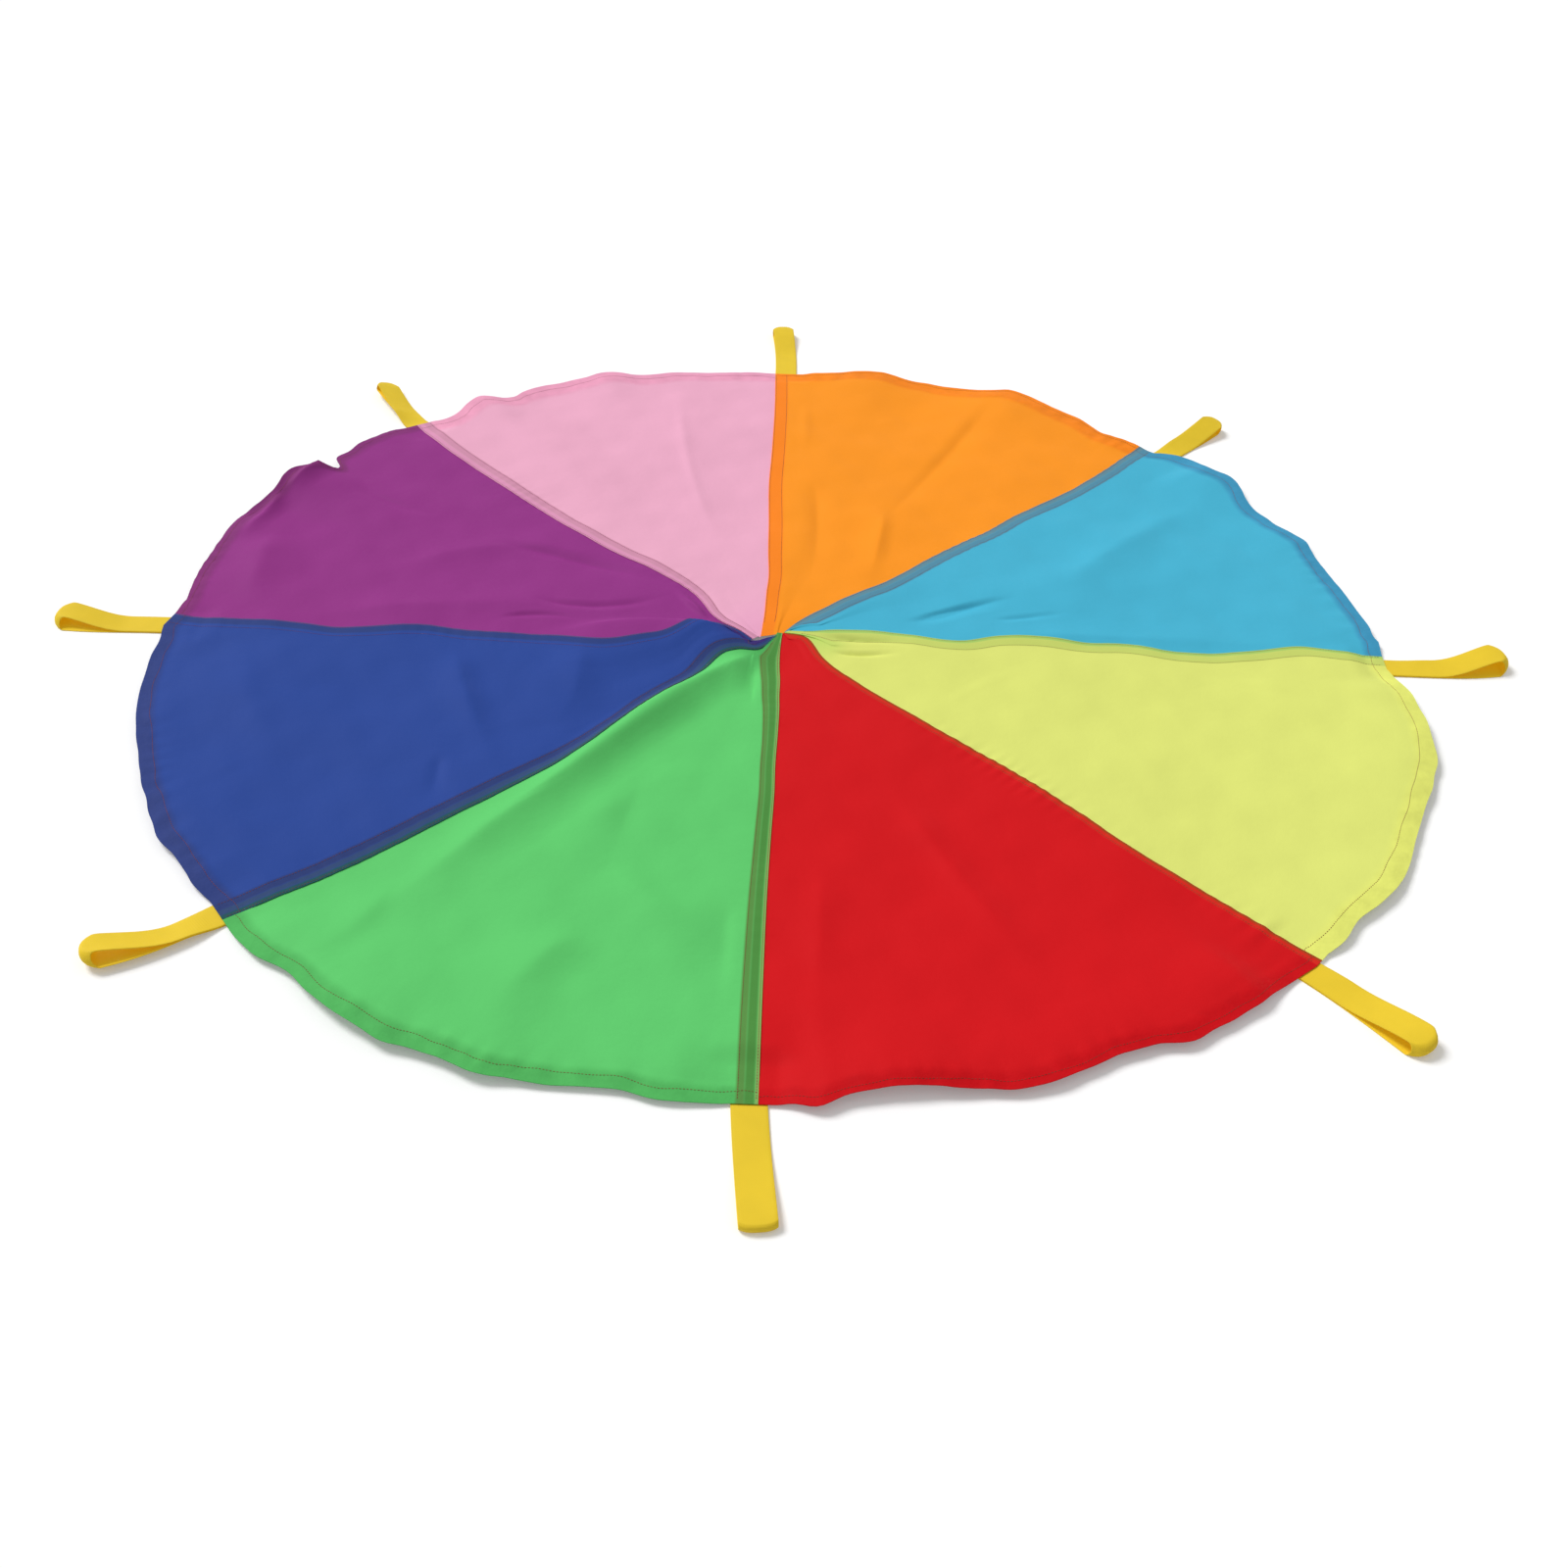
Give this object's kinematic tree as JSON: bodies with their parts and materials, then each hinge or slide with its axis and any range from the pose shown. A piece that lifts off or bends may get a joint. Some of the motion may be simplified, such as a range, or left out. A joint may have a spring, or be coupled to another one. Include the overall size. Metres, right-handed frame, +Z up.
{
  "type": "play parachute",
  "caption": "Round play parachute of coloured fabric gores with hemmed rim and webbing hand loops at the seam ends, lying spread on the floor.",
  "frame": {"origin": "centre of the spread canopy, on the floor that it lies on", "axes": "+Z up, +Y from the centre towards the back of the canopy, where the orange and the pink gore meet, +X to the right towards the seam between the cyan and the lime gore"},
  "size_m": [1.766, 1.7891, 0.0259],
  "materials": {
    "cyan_taffeta": "satin",
    "orange_taffeta": "satin",
    "pink_taffeta": "satin",
    "purple_taffeta": "satin",
    "blue_taffeta": "satin",
    "green_taffeta": "satin",
    "red_taffeta": "satin",
    "lime_taffeta": "satin",
    "yellow_webbing": "matt"
  },
  "bodies": {
    "right_half": {"panel_cyan": "cyan_taffeta", "panel_orange": "orange_taffeta", "panel_red": "red_taffeta", "panel_lime": "lime_taffeta", "handle_right_sewn_ends": "yellow_webbing", "handle_back_right_sewn_ends": "yellow_webbing", "handle_back_sewn_ends": "yellow_webbing", "handle_front_sewn_ends": "yellow_webbing", "handle_front_right_sewn_ends": "yellow_webbing"},
    "left_half": {"panel_pink": "pink_taffeta", "panel_purple": "purple_taffeta", "panel_blue": "blue_taffeta", "panel_green": "green_taffeta", "handle_back_left_sewn_ends": "yellow_webbing", "handle_left_sewn_ends": "yellow_webbing", "handle_front_left_sewn_ends": "yellow_webbing"},
    "handle_right": {"handle_right_loop": "yellow_webbing"},
    "handle_back_right": {"handle_back_right_loop": "yellow_webbing"},
    "handle_back": {"handle_back_loop": "yellow_webbing"},
    "handle_back_left": {"handle_back_left_loop": "yellow_webbing"},
    "handle_left": {"handle_left_loop": "yellow_webbing"},
    "handle_front_left": {"handle_front_left_loop": "yellow_webbing"},
    "handle_front": {"handle_front_loop": "yellow_webbing"},
    "handle_front_right": {"handle_front_right_loop": "yellow_webbing"}
  },
  "joints": [
    {"name": "canopy_fold", "type": "hinge", "parent": "right_half", "child": "left_half", "pos_m": [0, 0, 0.0049], "axis": [0, 1, 0], "range_deg": [0, 165]},
    {"name": "handle_right_flex", "type": "hinge", "parent": "right_half", "child": "handle_right", "pos_m": [0.76025, -0.0177, 0.0023], "axis": [0, -1, 0], "range_deg": [-90, 160]},
    {"name": "handle_back_right_flex", "type": "hinge", "parent": "right_half", "child": "handle_back_right", "pos_m": [0.54946, 0.52252, 0.0023], "axis": [0.7071, -0.7071, 0], "range_deg": [-90, 160]},
    {"name": "handle_back_flex", "type": "hinge", "parent": "right_half", "child": "handle_back", "pos_m": [-0.00525, 0.764, 0.0023], "axis": [1, 0, 0], "range_deg": [-90, 90]},
    {"name": "handle_back_left_flex", "type": "hinge", "parent": "left_half", "child": "handle_back_left", "pos_m": [-0.55052, 0.52782, 0.0023], "axis": [0.7071, 0.7071, 0], "range_deg": [-90, 160]},
    {"name": "handle_left_flex", "type": "hinge", "parent": "left_half", "child": "handle_left", "pos_m": [-0.7475, -0.0186, 0.0023], "axis": [0, 1, 0], "range_deg": [-90, 160]},
    {"name": "handle_front_left_flex", "type": "hinge", "parent": "left_half", "child": "handle_front_left", "pos_m": [-0.5414, -0.53588, 0.0023], "axis": [-0.7071, 0.7071, 0], "range_deg": [-90, 160]},
    {"name": "handle_front_flex", "type": "hinge", "parent": "right_half", "child": "handle_front", "pos_m": [-0.0135, -0.752, 0.0023], "axis": [-1, 0, 0], "range_deg": [-90, 90]},
    {"name": "handle_front_right_flex", "type": "hinge", "parent": "right_half", "child": "handle_front_right", "pos_m": [0.52676, -0.55476, 0.0023], "axis": [-0.7071, -0.7071, 0], "range_deg": [-90, 160]}
  ]
}
